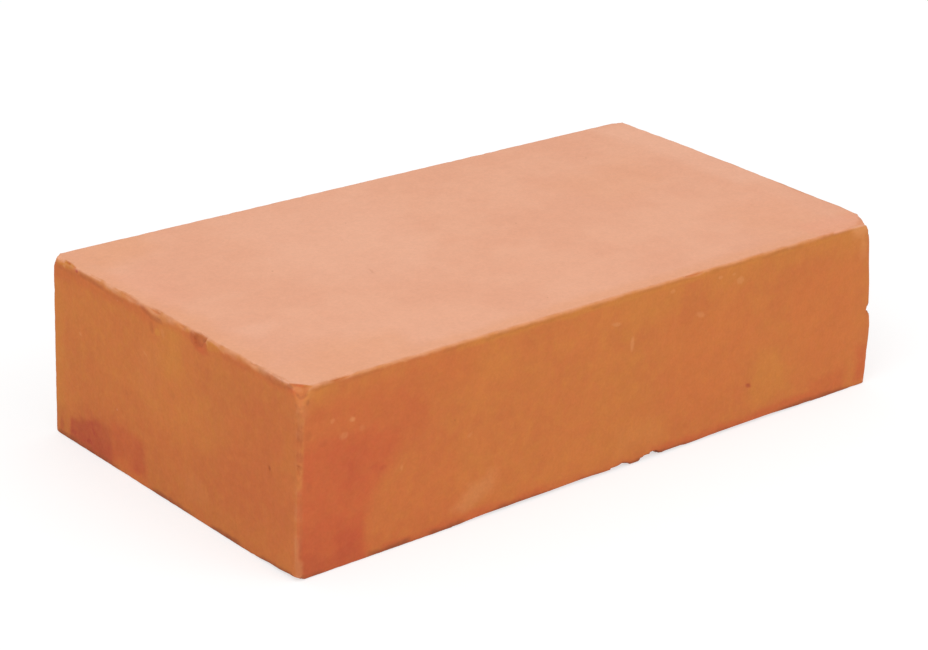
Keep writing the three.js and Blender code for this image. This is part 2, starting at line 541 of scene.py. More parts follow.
@dataclass(frozen=True)
class FiredClay:
    """Colours, mottling and roughness of the fired clay."""

    side_light: Colour = srgb(199, 116, 61)
    side_deep: Colour = srgb(195, 111, 60)
    side_gold: Colour = srgb(201, 128, 60)
    side_rose: Colour = srgb(203, 113, 61)
    side_pale: Colour = srgb(216, 146, 92)
    # The beds' colours are the clay of the sides made paler by a painted sheen, the white glare of the light
    # laid into the colour.
    bed_sheen_light: Colour = srgb(231, 170, 139)
    bed_sheen_deep: Colour = srgb(228, 165, 134)
    bed_sheen_gold: Colour = srgb(227, 160, 120)
    bed_sheen_rose: Colour = srgb(230, 158, 128)
    bed_sheen_pale: Colour = srgb(236, 180, 152)
    # Kiln flash; also laid as a band of painted shade just under the header's upper arris.
    flash: Colour = srgb(195, 92, 56)
    stain: Colour = srgb(164, 52, 50)
    # Dark marks and iron flecks in the clay, and the painted shade lines along some arrises.
    scorch: Colour = srgb(148, 80, 50)
    # The lighter rim of the arrises: partly rubbed bare clay, partly a painted highlight.
    rubbed_lit_rim_tan: Colour = srgb(213, 142, 100)
    rubbed_lit_rim_gold: Colour = srgb(206, 130, 74)
    broken_light: Colour = srgb(205, 121, 69)
    broken_deep: Colour = srgb(196, 112, 64)
    side_clouds: Mottle = Mottle(26.0, 2.0, 0.55, 0.35, 0.65)
    golden: Mottle = Mottle(3.4, 4.0, 0.6, 0.42, 0.72, 0.0, 0.36)
    dusky: Mottle = Mottle(2.6, 3.0, 0.6, 0.56, 0.8, 0.0, 0.4)
    drift: Mottle = Mottle(8.0, 3.0, 0.6, 0.4, 0.6)
    drift_share: float = 0.14
    drift_turn: float = 57.0  # turns its noise away from the other layers, in degrees
    bed_clouds: Mottle = Mottle(24.0, 3.0, 0.55, 0.35, 0.65)
    wire_streaks: Mottle = Mottle(2.2, 3.0, 0.55, 0.48, 0.75, 0.0, 0.08)
    wire_drag: tuple[float, float, float] = (0.08, 1.0, 1.0)  # draws the streaks out along the brick
    wire_turn: float = -38.0  # turns their noise, once it is drawn out
    uneven: Mottle = Mottle(3.2, 3.0, 0.55, 0.3, 0.7, 0.88, 1.12)
    rim_crumbs: Mottle = Mottle(6.0, 2.0, 0.55, 0.38, 0.62)
    rim_ragged: Mottle = Mottle(3.5, 2.0, 0.55, 0.3, 0.7, 0.6, 1.15)
    broken_lumps: Mottle = Mottle(2.0, 3.0, 0.6, 0.42, 0.64)
    fine_shade: Mottle = Mottle(0.9, 3.0, 0.6, 0.25, 0.75, 0.965, 1.03)
    coarse_shade: Mottle = Mottle(5.0, 4.0, 0.7, 0.3, 0.7, -0.03, 0.03)
    bed_coarse: float = 0.45  # how much of the coarse shade the beds have
    iron: Flecks = Flecks(9.0, 0.42, 0.72, 0.4)
    lime: Flecks = Flecks(11.0, 0.5, 0.75, 0.16)
    lime_turn: float = 23.0  # turns the lime's cells away from the iron's
    roughness: Mottle = Mottle(2.0, 2.0, 0.55, 0.3, 0.7, 0.84, 0.97)
    specular: float = 0.2
    relief: float = 0.1
    relief_strength: float = 0.5
    relief_grains: tuple[tuple[float, float, float], ...] = ((0.9, 4.0, 0.65), (3.0, 3.0, 0.55))


@dataclass
class NodeBench:
    """A short way to add and join the shader nodes of one tree."""

    tree: bpy.types.NodeTree
    count: int = 0
    rows: int = 5
    pitch: tuple[int, int] = (180, 160)

    @classmethod
    def on(cls, owner: bpy.types.Material | bpy.types.World) -> "NodeBench":
        """Start a bench on a cleared material or world.

        Args:
            owner: The material or the world.

        Returns:
            The bench.
        """
        owner.use_nodes = True
        owner.node_tree.nodes.clear()
        return cls(owner.node_tree)

    def add(
        self, kind: str, inputs: dict[str | int, object] | None = None, **settings: object
    ) -> bpy.types.Node:
        """Add a node.

        Args:
            kind: The name of the node's type.
            inputs: What its sockets take: outputs of other nodes or plain values.
            settings: Properties of the node.

        Returns:
            The new node.
        """
        node = self.tree.nodes.new(kind)
        node.location = (self.count * self.pitch[0], -(self.count % self.rows) * self.pitch[1])
        self.count += 1
        for name, value in settings.items():
            setattr(node, name, value)
        for name, value in (inputs or {}).items():
            if isinstance(value, Socket):
                self.tree.links.new(value, node.inputs[name])
            else:
                node.inputs[name].default_value = value
        return node

    def position(self) -> Socket:
        """Give the place on the object in millimetres."""
        coordinates = self.add("ShaderNodeTexCoord")
        return self.stretched(coordinates.outputs["Object"], (1 / MM, 1 / MM, 1 / MM))

    def stretched(
        self, place: Socket, scale: tuple[float, float, float] = (1.0, 1.0, 1.0), turn_deg: float = 0.0
    ) -> Socket:
        """Scale a place and then turn it about the upright axis.

        Args:
            place: The place.
            scale: The scale along X, Y and Z.
            turn_deg: The turn, in degrees.

        Returns:
            The new place.
        """
        turn = (0.0, 0.0, math.radians(turn_deg))
        inputs = {"Vector": place, "Rotation": turn, "Scale": scale}
        return self.add("ShaderNodeMapping", inputs).outputs["Vector"]

    def grain(self, place: Socket, size: float, detail: float, roughness: float) -> Socket:
        """Give noise around one half.

        Args:
            place: Where, in millimetres.
            size: Size of its lumps, in millimetres.
            detail: How many finer layers.
            roughness: How strong the finer layers are.

        Returns:
            The noise value.
        """
        inputs = {"Vector": place, "Scale": 1.0 / size, "Detail": detail, "Roughness": roughness}
        return self.add("ShaderNodeTexNoise", inputs).outputs["Fac"]

    def flecks(self, place: Socket, flecks: Flecks) -> Socket:
        """Scatter small round flecks.

        Args:
            place: Where, in millimetres.
            flecks: The flecks.

        Returns:
            Their strength in a fleck and 0 outside.
        """
        cells = self.add("ShaderNodeTexVoronoi", {"Vector": place, "Scale": 1.0 / flecks.spacing})
        rim = flecks.radius / flecks.spacing
        spot = self.ease(cells.outputs["Distance"], rim, flecks.core * rim)
        parts = self.add("ShaderNodeSeparateColor", {"Color": cells.outputs["Color"]})
        chosen = self.ease(parts.outputs["Red"], flecks.rarity, flecks.rarity + flecks.faint)
        return self.join("MULTIPLY", self.join("MULTIPLY", spot, chosen), flecks.strength)

    def ease(
        self, value: object, low: float, high: float, to_low: float = 0.0, to_high: float = 1.0
    ) -> Socket:
        """Ease a value between two limits into another range.

        Args:
            value: The value.
            low: The first limit.
            high: The second limit.
            to_low: The result at the first limit.
            to_high: The result at the second limit.

        Returns:
            The eased value.
        """
        inputs = {"Value": value, "From Min": low, "From Max": high, "To Min": to_low, "To Max": to_high}
        return self.add("ShaderNodeMapRange", inputs, interpolation_type="SMOOTHSTEP").outputs["Result"]

    def join(self, operation: str, first: object, second: object) -> Socket:
        """Join two values by one arithmetic operation."""
        return self.add("ShaderNodeMath", {0: first, 1: second}, operation=operation).outputs["Value"]

    def blend(self, share: object, under: object, over: object, mode: str = "MIX") -> Socket:
        """Blend two colours.

        Args:
            share: How much of the second colour shows.
            under: The first colour.
            over: The second colour.
            mode: The name of the blend.

        Returns:
            The blended colour.
        """
        inputs = {"Factor": share, MIX_UNDER: under, MIX_OVER: over}
        mixer = self.add("ShaderNodeMix", inputs, data_type="RGBA", blend_type=mode, clamp_factor=True)
        return mixer.outputs[MIX_RESULT]

    def mask(self, name: str) -> Socket:
        """Read one of the skin's own masks."""
        return self.add("ShaderNodeAttribute", attribute_name=name).outputs["Fac"]


@dataclass
class ClayFinish:
    """Dresses a piece as fired clay from its masks."""

    clay: FiredClay = FiredClay()

    def __post_init__(self) -> None:
        """Start the material and read the tints of the skin."""
        self.finish = bpy.data.materials.new("fired_clay")
        self.bench = NodeBench.on(self.finish)
        self.place = self.bench.position()
        uneven = self.layer(self.clay.uneven)
        self.tints = {
            tint: self.bench.join("MULTIPLY", self.bench.mask(tint.value), uneven)
            for tint in Tint
            if tint not in (Tint.BED, Tint.BARE)
        }

    def layer(self, mottle: Mottle, place: Socket | None = None) -> Socket:
        """Give one layer of noise, at the skin's own place or at another."""
        grain = self.bench.grain(place or self.place, mottle.size, mottle.detail, mottle.roughness)
        return self.bench.ease(grain, mottle.low, mottle.high, mottle.least, mottle.most)

    def tinted(self, colour: Socket, shades: dict[Tint, Colour]) -> Socket:
        """Lay tints over a colour, one after the other.

        Args:
            colour: The colour.
            shades: The tints to lay, and the colour of each.

        Returns:
            The tinted colour.
        """
        for tint, shade in shades.items():
            colour = self.bench.blend(self.tints[tint], colour, shade)
        return colour

    def sides(self) -> Socket:
        """Mix the colour of the stretchers and headers.

        Returns:
            The colour.
        """
        clay, blend = self.clay, self.bench.blend
        colour = blend(self.layer(clay.side_clouds), clay.side_light, clay.side_deep)
        colour = blend(self.layer(clay.golden), colour, clay.side_gold)
        colour = blend(self.layer(clay.dusky), colour, clay.side_deep)
        drift = self.layer(clay.drift, self.bench.stretched(self.place, turn_deg=clay.drift_turn))
        colour = blend(clay.drift_share, colour, blend(drift, clay.side_rose, clay.side_gold))
        shades = {
            Tint.GOLD: clay.side_gold,
            Tint.ROSE: clay.side_rose,
            Tint.FLASH: clay.flash,
            Tint.STAIN: clay.stain,
            Tint.PALE: clay.side_pale,
        }
        return self.tinted(colour, shades)

    def beds(self) -> Socket:
        """Mix the colour of the two beds, with the drag of the wire and their painted sheen.

        Returns:
            The colour.
        """
        clay, blend = self.clay, self.bench.blend
        colour = blend(self.layer(clay.bed_clouds), clay.bed_sheen_light, clay.bed_sheen_deep)
        dragged = self.bench.stretched(self.place, clay.wire_drag, clay.wire_turn)
        colour = blend(self.layer(clay.wire_streaks, dragged), colour, clay.bed_sheen_pale)
        shades = {Tint.GOLD: clay.bed_sheen_gold, Tint.ROSE: clay.bed_sheen_rose, Tint.PALE: clay.bed_sheen_pale}
        return self.tinted(colour, shades)

    def colour(self) -> Socket:
        """Mix the whole colour of the clay.

        Returns:
            The colour.
        """
        clay, bench, blend = self.clay, self.bench, self.bench.blend
        # The beds' colour carries their painted sheen, also where it laps over the arrises.
        bed = bench.mask(Tint.BED.value)
        colour = blend(bed, self.sides(), self.beds())

        # The lighter rim along the arrises: partly rubbed clay, partly a painted highlight.
        rim = blend(self.layer(clay.rim_crumbs), clay.rubbed_lit_rim_tan, clay.rubbed_lit_rim_gold)
        colour = blend(bench.join("MULTIPLY", bench.mask("rim"), self.layer(clay.rim_ragged)), colour, rim)
        broken = blend(self.layer(clay.broken_lumps), clay.broken_light, clay.broken_deep)
        colour = blend(bench.mask("broken"), colour, broken)
        # Dark marks, and painted shade lines at the foot and under the upper arrises.
        colour = blend(self.tints[Tint.SCORCH], colour, clay.scorch)
        colour = blend(bench.flecks(self.place, clay.iron), colour, clay.scorch)
        turned = bench.stretched(self.place, turn_deg=clay.lime_turn)
        # The lime flecks take the beds' pale colour, painted sheen and all.
        colour = blend(bench.flecks(turned, clay.lime), colour, clay.bed_sheen_pale)

        on_bed = bench.ease(bed, 0.0, 1.0, 1.0, clay.bed_coarse)
        coarse = bench.join("MULTIPLY", self.layer(clay.coarse_shade), on_bed)
        shade = bench.join("MULTIPLY", self.layer(clay.fine_shade), bench.join("ADD", 1.0, coarse))
        grey = bench.add("ShaderNodeCombineColor", dict.fromkeys(("Red", "Green", "Blue"), shade))
        return blend(1.0, colour, grey.outputs["Color"], "MULTIPLY")

    def material(self) -> bpy.types.Material:
        """Build the material.

        Returns:
            The fired clay material.
        """
        clay, bench = self.clay, self.bench
        height = bench.join("ADD", *(bench.grain(self.place, *grain) for grain in clay.relief_grains))
        relief = {"Height": height, "Strength": clay.relief_strength, "Distance": clay.relief * MM}
        look = {
            "Base Color": self.colour(),
            "Roughness": self.layer(clay.roughness),
            "Specular IOR Level": clay.specular,
            "Normal": bench.add("ShaderNodeBump", relief).outputs["Normal"],
        }
        shader = bench.add("ShaderNodeBsdfPrincipled", look)
        bench.add("ShaderNodeOutputMaterial", {"Surface": shader.outputs["BSDF"]})
        return self.finish


PatchTable = dict[Tint, tuple[tuple[float, float, float, Outline], ...]]
MarkTable = dict[Tint, tuple[tuple[float, ...], ...]]

# The patches of a side, tint by tint. A row holds the strength, the fade, the wander and the outline.

# In X and Z.
STRETCHER_PATCHES: PatchTable = {
    Tint.FLASH: (
        (0.42, 9, 1.6, (
            (-124, 52), (-104, 54), (-82, 52.5), (-72, 46), (-72, 38), (-78, 31), (-84, 26), (-89, 20),
            (-93, 14), (-94, 8), (-94, -3), (-124, -3),
        )),
        (0.72, 9, 1.8, (
            (-124, 42), (-104, 44), (-83, 39), (-82, 33), (-86, 27), (-92, 20), (-95.5, 14), (-95.5, -3),
            (-124, -3),
        )),
        (0.78, 4, 1.2, ((-110, 19), (-94.5, 17), (-95.5, -3), (-110, -3))),
        (0.24, 9, 2, ((-84, 57), (-60, 57), (-52, 48), (-66, 42), (-80, 40))),
        (0.2, 6, 2, ((-96, 30), (-76, 36), (-62, 30), (-60, -3), (-96, -3))),
        (0.55, 2.6, 1, ((-90, 3.2), (-28, 3.4), (-28, -3), (-90, -3))),
        (0.3, 3, 1, ((-28, 3), (16, 2.6), (16, -3), (-28, -3))),
        (0.55, 2.6, 1.2, ((18, 3.6), (60, 3.2), (104, 3.6), (104, -3), (18, -3))),
        (0.4, 4, 1.5, ((92, 8), (110, 9), (110, -3), (92, -3))),
        (0.6, 4.5, 1, ((114, 14), (119, 14), (121, 2), (114, 2))),
        (0.16, 8, 2, ((-112, 50), (-84, 52), (-70, 47), (-72, 38), (-84, 36), (-112, 44))),
    ),
    Tint.STAIN: (
        (0.14, 8, 2, ((-107, 38), (-98, 36), (-97, 24), (-104, 22))),
        (0.2, 6, 2, ((-105, 13), (-97, 12), (-97, 1), (-106, 1))),
        (0.14, 8, 3, ((-124, 18), (-112, 14), (-106, -3), (-124, -3))),
    ),
    # Dark marks. The two thin rows just under the upper arris are painted shade lines; the rows at the foot
    # darken the near end towards the bottom.
    Tint.SCORCH: (
        (0.16, 5, 2, ((-124, 8), (-112, 7), (-106, -3), (-124, -3))),
        (0.2, 1.2, 0.3, ((-113, 59.4), (-113, 58.2), (-99, 57.2), (-99, 58.4))),
        (0.2, 1.2, 0.3, ((90, 58.8), (90, 57.6), (103.6, 57.6), (103.6, 58.8))),
        (0.12, 5, 1.5, ((-124, 6), (-98, 6), (-98, -4), (-124, -4))),
        (0.15, 1, 0.3, ((-120, 29), (-118.6, 27), (-118.2, 7), (-119.5, 7))),
    ),
    Tint.GOLD: (
        (0.4, 8, 3, ((0, 61), (30, 61), (24, 46), (4, 44))),
        (0.22, 10, 3, ((-6, 40), (14, 42), (16, 8), (-8, 6))),
        (0.55, 5, 2, ((65, 24), (74, 24), (82, 8), (66, 5), (62, 12))),
        (0.28, 7, 2, ((-62, 54), (-44, 52), (-40, 44), (-56, 46))),
        (0.4, 6, 2, ((34, 61), (121, 61), (118, 51), (60, 53), (40, 49))),
        (0.7, 1.6, 0.8, ((-64, 60), (121, 60), (121, 56.2), (-64, 56.8))),
        (0.45, 4, 2, ((-121, 61), (-108, 61), (-110, 54), (-121, 54))),
        (0.5, 4, 1.2, ((-116, 58), (-111, 58), (-110.6, 52), (-116, 52.4))),
        (0.35, 6, 2, ((-6, 14), (26, 14), (26, 5), (-8, 5))),
    ),
    Tint.ROSE: (
        (0.42, 12, 3, ((22, 46), (40, 47), (62, 41), (60, 16), (44, 10), (24, 14))),
        (0.5, 12, 3, ((76, 50), (112, 46), (116, 12), (92, 8), (80, 20))),
    ),
    Tint.PALE: (
        (0.34, 4, 2, ((-63, 6), (-56, 11), (-47, 14.5), (-47, 10), (-58, 4.4))),
        (0.62, 3.2, 0.8, ((104.6, 60.6), (114, 61), (113.6, 55.4), (108, 54.4), (105.4, 56.6))),
        (0.16, 3, 0.8, ((-121, 58.6), (-115.6, 58), (-116.8, 51), (-118.6, 48.6), (-121, 48.6))),
        (0.28, 2.6, 0.5, ((109.8, 57), (113, 57), (113.6, 46), (111.4, 46))),
        (0.08, 8, 2, ((3, 14), (23, 14), (23, 5), (3, 5))),
        (0.42, 1.6, 0.4, ((-121, 13), (-119.8, 13), (-119.6, 7), (-117.9, 5.5), (-117.7, -1), (-121, -1))),
    ),
    Tint.BARE: (
        (0.85, 1.4, 0.3, ((-121, 51), (-118.5, 50), (-118.4, 37), (-118.5, 29), (-121, 27))),
        (0.2, 1, 0.3, ((-121, 30), (-118.4, 30), (-118.2, 13), (-118.2, -1), (-121, -1))),
    ),
    Tint.BED: (
        (1, 1, 0.3, ((112, 61), (113, 57.8), (121, 56.6), (121, 61))),
    ),
}

# In Y and Z.
HEADER_PATCHES: PatchTable = {
    Tint.FLASH: (
        (0.44, 4, 1, ((31, 15.5), (15, 16.5), (12.3, 14), (12.3, 1.5), (31, 1.5))),
        (0.14, 9, 2, ((46, 20), (30, 23), (8, 22), (3, 12), (18, 14), (30, 16))),
        (0.27, 14, 4, ((-24, 26), (-34, 46), (-52, 49), (-63, 44), (-63, 4), (-30, 10), (-20, 16))),
        (0.3, 10, 3, ((-38, 30), (-58, 28), (-60, 12), (-36, 14))),
        (0.2, 8, 3, ((28, 19), (0, 22), (-26, 26), (-20, 12), (6, 12))),
        # These two rows darken a band just under the upper arris: painted shade.
        (0.3, 3, 1.4, ((64, 58), (8, 58), (9, 53), (24, 54), (44, 53.5), (64, 51))),
        (0.26, 2, 1, ((8, 58), (-60, 58), (-60, 55.5), (8, 56))),
        (0.5, 1.8, 0.5, (
            (-9.8, 61), (-10.2, 56.2), (-13, 53.7), (-17, 53.4), (-19.4, 54.3), (-18.4, 57.4), (-17.4, 61),
        )),
        (0.5, 1.4, 0.4, ((-54.6, 61), (-60.8, 61), (-61.6, 57.4), (-58, 56.2), (-55, 57.4))),
        (0.34, 1.2, 0.3, ((50.6, 60), (50.4, 57), (46.5, 57.6), (46.5, 60))),
        (0.36, 1.4, 0.4, ((16, 59), (15.4, 56.2), (12, 54.4), (8.6, 54.8), (8.4, 57.2), (11, 58.6))),
    ),
    Tint.STAIN: (
        (0.54, 1.6, 0.5, ((53.6, -4), (53.5, 7.9), (46.9, 9.9), (39.6, 11.8), (35, 12.4), (35, -4))),
        (0.5, 3.2, 0.8, ((42, -6), (42, 11.4), (34.6, 13), (30.8, 12.4), (30, 3), (29.5, -6))),
        (0.5, 9, 1, ((52, -9), (52, 8.5), (40, 10.5), (31, 9.5), (30, -9))),
        (0.16, 5, 1, ((55, 10), (50, 14.5), (44, 15.5), (33, 17.5), (30, 17), (30, 6), (44, 5))),
        (0.14, 4, 1, ((31, 15.5), (15, 16.5), (12.3, 14), (12.3, 4.5), (31, 4.5))),
        (0.3, 3, 0.8, ((19, 13.5), (13, 13.5), (13, 4), (18.5, 3.5))),
    ),
    # Dark marks. The thin rows just under the upper arris are painted shade lines.
    Tint.SCORCH: (
        (0.14, 4, 1, ((64, 12), (54.5, 10), (54.5, -4), (64, -4))),
        (0.08, 12, 3, ((12, 20), (-14, 24), (-16, 54), (-66, 54), (-66, -6), (10, -6))),
        (0.3, 1.8, 0.6, ((-10, 61), (-10.6, 56.8), (-13.4, 54.8), (-16.2, 55.8), (-17, 61))),
        (0.32, 1.1, 0.3, ((47, 58.4), (47, 56.8), (34, 56.4), (34, 57.7))),
        (0.12, 1.4, 0.3, ((60, 57.1), (60, 55.4), (47, 56), (47, 57.4))),
        (0.14, 1.2, 0.3, ((34, 57), (34, 55.8), (23, 55.8), (23, 57))),
        (0.34, 1.2, 0.3, ((15, 58.6), (14.4, 57.2), (9, 55.8), (3.6, 55.9), (4, 57), (9, 57.2))),
        (0.14, 1.2, 0.4, ((-26, 57), (-26, 55.8), (-38, 55.6), (-38, 56.8))),
        (0.3, 1.4, 0.5, ((-43, 59.2), (-43, 57.2), (-50, 56.4), (-57, 56.8), (-57, 58.3))),
    ),
    Tint.GOLD: (
        (0.5, 6, 2, ((3.2, 58), (-6, 58), (-6, 42), (2.4, 40))),
        (0.4, 4, 2, ((63, 52), (57, 52), (57, 10), (63, 8))),
        (0.45, 4, 1.5, ((-55, 44), (-59, 44), (-60, 32), (-56, 32))),
        (1, 1.2, 0.4, ((-17.8, 58.8), (-21, 59), (-25, 58.2), (-24.6, 56.6), (-18.8, 55.4))),
        (0.8, 1.4, 0.5, ((-7.2, 61), (-11, 61), (-11.2, 58), (-7.6, 57.6))),
        (1, 1, 0.4, ((58.6, 61), (58.2, 57.2), (54, 56.8), (50.4, 57.8), (50, 61))),
    ),
    Tint.PALE: (
        (0.1, 6, 2, ((-8, 13), (-14, 14), (-19, 10), (-16, 4), (-9, 5))),
        (0.08, 9, 2, ((6, 46), (17, 46), (16, 32), (7, 30))),
        (0.16, 3, 0.8, ((-59.2, 58.4), (-63, 58.4), (-63, 49), (-61, 49))),
        (0.55, 2.4, 0.5, ((13, 61), (10, 57.4), (6, 56.8), (1, 57.4), (-1, 61))),
        (0.7, 1.4, 0.4, ((-18, 61), (-18.4, 59), (-24, 58.6), (-27, 57), (-28, 61))),
        (0.7, 2, 0.5, ((-38, 61), (-40, 57.6), (-46, 57.6), (-47, 61))),
        (0.6, 1.6, 0.5, ((34, 61), (33, 57.6), (25, 57.4), (23, 61))),
    ),
    Tint.BED: (
        (1, 1.2, 0.3, ((46.6, 61), (46, 58.8), (36, 58.6), (33, 61))),
        (1, 0.8, 0.2, ((-46, 61), (-46, 58.9), (-55, 58.4), (-57.2, 58.5), (-57.2, 61))),
    ),
}

# In X and Y.
BED_PATCHES: PatchTable = {
    Tint.FLASH: (
        (0.7, 1, 0.2, ((-123, -54.4), (-121, -55.8), (-117.2, -59.4), (-117.6, -61.2), (-123, -58.2))),
    ),
    Tint.GOLD: (
        (0.5, 9, 4, ((-124, 66), (-114, 66), (-114, -40), (-124, -66))),
        (0.5, 14, 4, ((-120, 66), (-84, 66), (-90, 50), (-116, 42))),
        (0.4, 14, 4, ((-124, -66), (-70, -66), (-76, -44), (-96, -40), (-120, -48))),
        (0.22, 14, 4, ((84, -24), (106, -30), (106, -60), (70, -60))),
        (0.2, 14, 4, ((50, 24), (92, 30), (88, 4), (56, 0))),
        (0.5, 6, 2, ((-110, -57), (110, -57), (118, -64), (-118, -64))),
        (0.4, 6, 2, ((112, -48), (122, -48), (122, -64), (110, -64))),
    ),
    Tint.ROSE: (
        (0.16, 10, 3, ((84, -26), (110, -16), (110, -46), (88, -44))),
        (0.45, 6, 2, ((90, -50), (124, -50), (124, -66), (90, -66))),
        (0.3, 10, 3, ((-118, 40), (-104, 36), (-104, 8), (-118, 6))),
    ),
    Tint.PALE: (
        (0.3, 20, 5, ((-62, 58), (-4, 58), (-14, 10), (-40, -20), (-70, 0))),
        (0.4, 6, 2, ((-111, -17), (-96, -16), (-94, -22), (-108, -26))),
        (0.45, 8, 2, ((104, 60), (124, 60), (124, -14), (106, -10))),
    ),
    Tint.BARE: (
        (0.34, 1.6, 0.4, (
            (99, -62.5), (105, -61.2), (110, -60.2), (114, -58), (122, -57), (122, -66), (99, -66),
        )),
        (1, 0.8, 0.2, (
            (-123, -54.6), (-121, -56), (-117.4, -59.6), (-116, -61.6), (-115.6, -64), (-123, -64),
        )),
        (1, 0.8, 0.3, (
            (-123, 58), (-120.8, 57.4), (-119.2, 55.6), (-119.2, 52.3), (-119.9, 49.4), (-121.4, 48.4),
            (-123, 48),
        )),
    ),
    Tint.BED: (
        (1, 1, 0.3, ((96, -64), (96, -58), (110, -40), (122, -40), (122, -64))),
        (1, 1, 0.3, ((-122, 40), (-114, 44), (-108, 64), (-122, 64))),
    ),
}

# The marks of a side, tint by tint. A row holds the place along both axes, half the length, half the
# width, the turn in degrees, the strength and, where the mark is pressed in, the depth.

STRETCHER_MARKS: MarkTable = {
    Tint.FLASH: (
        (61.5, 13.9, 1.7, 0.9, -24, 0.8),
    ),
    Tint.STAIN: (
        (-119.6, 44.9, 3.8, 1.1, 90, 0.16),
        (-119.6, 38.4, 2, 1, 90, 0.2),
        (-90, 27.2, 1.7, 0.9, 0, 0.16),
        (-93.3, 28.4, 1.6, 0.8, 0, 0.14),
    ),
    Tint.SCORCH: (
        (-119.6, 44.9, 3.6, 1, 90, 0.16),
        (-119.6, 38.1, 1.9, 1.2, 90, 0.14),
        (-119.6, 34.9, 1.2, 1.2, 90, 0.14),
        (-116.8, 44.3, 2, 1.3, 90, 0.14),
        (-116.6, 28.4, 1.8, 1.3, 90, 0.14),
        (-117.3, 54.3, 1, 0.8, 80, 0.36),
        (-119, 56.8, 1.9, 0.9, 0, 0.3),
        (-119.6, 53.4, 1.7, 0.8, 0, 0.16),
        (61.5, 13.9, 1.5, 0.7, -24, 0.5, 0.2),
        (-111.5, 40.7, 1.6, 1.2, 0, 0.1),
    ),
    Tint.PALE: (
        (-114.3, 59.2, 1, 0.5, 0, 0.5),
        (-117.6, 57.9, 2, 1.2, 20, 0.34),
        (6.9, 41.5, 2.8, 0.9, 88, 0.46),
        (36.3, 44.4, 2.6, 1, -18, 0.34),
        (53.3, 52.2, 1.8, 1.6, 0, 0.34),
        (50, 54.8, 0.9, 0.6, 0, 0.34),
        (44, 55, 1.2, 0.6, 0, 0.4),
        (23, 55.2, 1.2, 0.9, 0, 0.3),
        (-0.5, 49.8, 2.4, 0.8, -10, 0.4),
        (-57.5, 28.6, 1.5, 0.6, 30, 0.28),
        (-108.6, 46.5, 1, 0.8, 50, 0.28),
        (-101.6, 45.3, 1.2, 0.8, -10, 0.5),
        (-104.5, 41.1, 1.7, 1.4, 0, 0.28),
        (-97.9, 41.7, 1.6, 1.1, 0, 0.16),
        (-83.1, 25.3, 1.3, 0.7, 90, 0.3),
    ),
}

HEADER_MARKS: MarkTable = {
    Tint.FLASH: (
        (-58.6, 58.9, 2.4, 0.5, 10, 0.6),
        (17, 3.5, 2.6, 1.4, 0, 0.7),
        (54.2, 58.9, 1.3, 0.6, 0, 0.8),
    ),
    Tint.STAIN: (
        (-61.6, 44.9, 3.8, 1.1, 90, 0.16),
        (-61.6, 38.4, 2, 1, 90, 0.2),
        (51.6, 3.6, 2.2, 1.3, 0, 0.7),
        (43, 3.6, 2.4, 1.4, 0, 0.7),
        (40.3, 7.8, 1.8, 1.4, 60, 0.68),
        (58.2, 3.8, 3, 1.4, 90, 0.3),
        (48.6, 58.1, 0.9, 0.7, 80, 0.7),
        (47.2, 58.9, 0.8, 0.5, 80, 0.6),
    ),
    Tint.SCORCH: (
        (-48.6, 30.2, 0.9, 0.6, 80, 0.7, 0.5),
        (8.8, 52.8, 2.2, 1.2, 80, 0.24),
        (22, 27, 1.8, 1, 70, 0.12),
        (-1.5, 35.5, 2.2, 1.5, 60, 0.13),
        (5.2, 56.7, 1.3, 0.45, 0, 0.5, 0.1),
        (-61.6, 44.9, 3.6, 1, 90, 0.16),
        (-61.5, 38.1, 1.9, 1.2, 90, 0.14),
        (-61.5, 34.9, 1.2, 1.2, 90, 0.14),
        (-57.4, 58.2, 2.1, 0.9, -10, 0.34),
        (-54.9, 57, 0.8, 0.8, 60, 0.3, 0.2),
        (-61, 56.8, 1.4, 0.9, 0, 0.3),
        (-60.8, 53.4, 1.6, 0.8, 0, 0.16),
        (-48.4, 57.4, 0.7, 0.5, 90, 0.45, 0.1),
        (57.4, 56.2, 1.8, 0.8, 0, 0.26),
        (-11.8, 57.6, 2, 1, 20, 0.46, 0.2),
        (-15.6, 58.2, 1.6, 1, 0, 0.5, 0.2),
        (-14.2, 56.2, 1.2, 0.9, 30, 0.4, 0.1),
    ),
    Tint.GOLD: (
        (6, 52.6, 1.7, 1.4, 0, 0.7),
        (58.4, 57.6, 1.6, 0.9, 0, 1),
    ),
    Tint.ROSE: (
        (-15.6, 54.3, 3.2, 1, 5, 0.7),
    ),
    Tint.PALE: (
        (47, 38, 1, 0.6, 20, 0.3),
        (3.2, 53.1, 1.6, 1, 60, 0.2),
        (12, 43.5, 1.6, 0.5, 20, 0.28),
        (-61.5, 10, 7.6, 0.8, 90, 0.3),
        (55.4, 57.4, 0.9, 0.6, 0, 0.6),
        (-12.7, 59, 0.7, 0.4, 0, 0.6),
        (-18.7, 57.4, 1, 0.4, 60, 0.4),
    ),
}

BED_MARKS: MarkTable = {
    Tint.FLASH: (
        (-119.7, 53.9, 1, 0.8, 80, 0.8),
    ),
    Tint.SCORCH: (
        (116.8, -56.6, 2.2, 0.9, 40, 0.18),
        (-48.4, -3.5, 2.6, 0.5, 75, 0.16, 0.1),
    ),
    Tint.PALE: (
        (-120.1, 52, 0.9, 0.7, 80, 0.5),
        (-69, 20, 5, 0.7, 70, 0.3),
        (-64, 12, 3.6, 0.6, 50, 0.25),
        (-106, -21, 4, 0.8, 25, 0.3),
    ),
}


PATCHES = {
    Side.LEFT_HEADER: HEADER_PATCHES,
    Side.FRONT_STRETCHER: STRETCHER_PATCHES,
    Side.UPPER_BED: BED_PATCHES,
}
MARKS = {
    Side.LEFT_HEADER: HEADER_MARKS,
    Side.FRONT_STRETCHER: STRETCHER_MARKS,
    Side.UPPER_BED: BED_MARKS,
}

LOWER_ARRISES = ((-1, 0, -1), (1, 0, -1), (0, -1, -1), (0, 1, -1))
